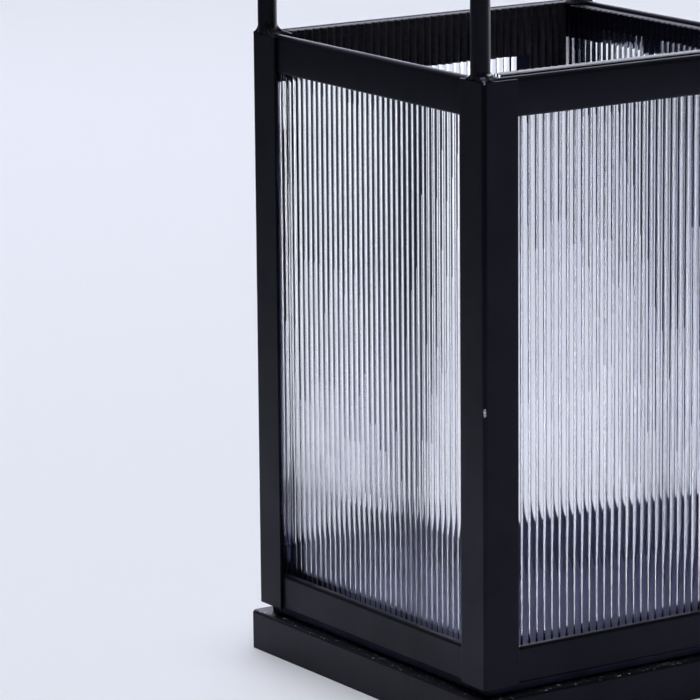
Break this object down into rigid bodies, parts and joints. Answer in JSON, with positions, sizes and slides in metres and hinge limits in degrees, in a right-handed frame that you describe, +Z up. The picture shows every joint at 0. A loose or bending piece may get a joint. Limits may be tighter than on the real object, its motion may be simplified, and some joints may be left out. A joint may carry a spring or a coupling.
{
  "type": "lantern",
  "caption": "Square open-topped candle lantern: black steel frame on a plinth, reeded glass panes on every side and a crossed-arch rod handle.",
  "frame": {"origin": "middle of the plinth's underside, on the surface that the lantern stands on", "axes": "+Z up, +X to the right, the front face towards -Y"},
  "size_m": [0.129, 0.129, 0.2853],
  "materials": {
    "black_paint": "satin black paint over mild steel, slightly uneven",
    "reeded_glass": "clear, polished, with upright convex ribs on the inner face",
    "black_adhesive": "smooth black glazing adhesive"
  },
  "bodies": {
    "root": {"base_plinth": "black_paint", "floor_plate": "black_paint", "post_front_left": "black_paint", "post_front_right": "black_paint", "post_back_right": "black_paint", "post_back_left": "black_paint", "top_rail_front": "black_paint", "top_rail_right": "black_paint", "top_rail_back": "black_paint", "top_rail_left": "black_paint", "bottom_rail_front": "black_paint", "bottom_rail_right": "black_paint", "bottom_rail_back": "black_paint", "bottom_rail_left": "black_paint", "pane_front": "reeded_glass", "pane_right": "reeded_glass", "pane_back": "reeded_glass", "pane_left": "reeded_glass", "top_adhesive": "black_adhesive", "bottom_adhesive": "black_adhesive", "handle_arch_lower": "black_paint", "handle_arch_upper": "black_paint", "handle_welds": "black_paint"}
  },
  "joints": []
}
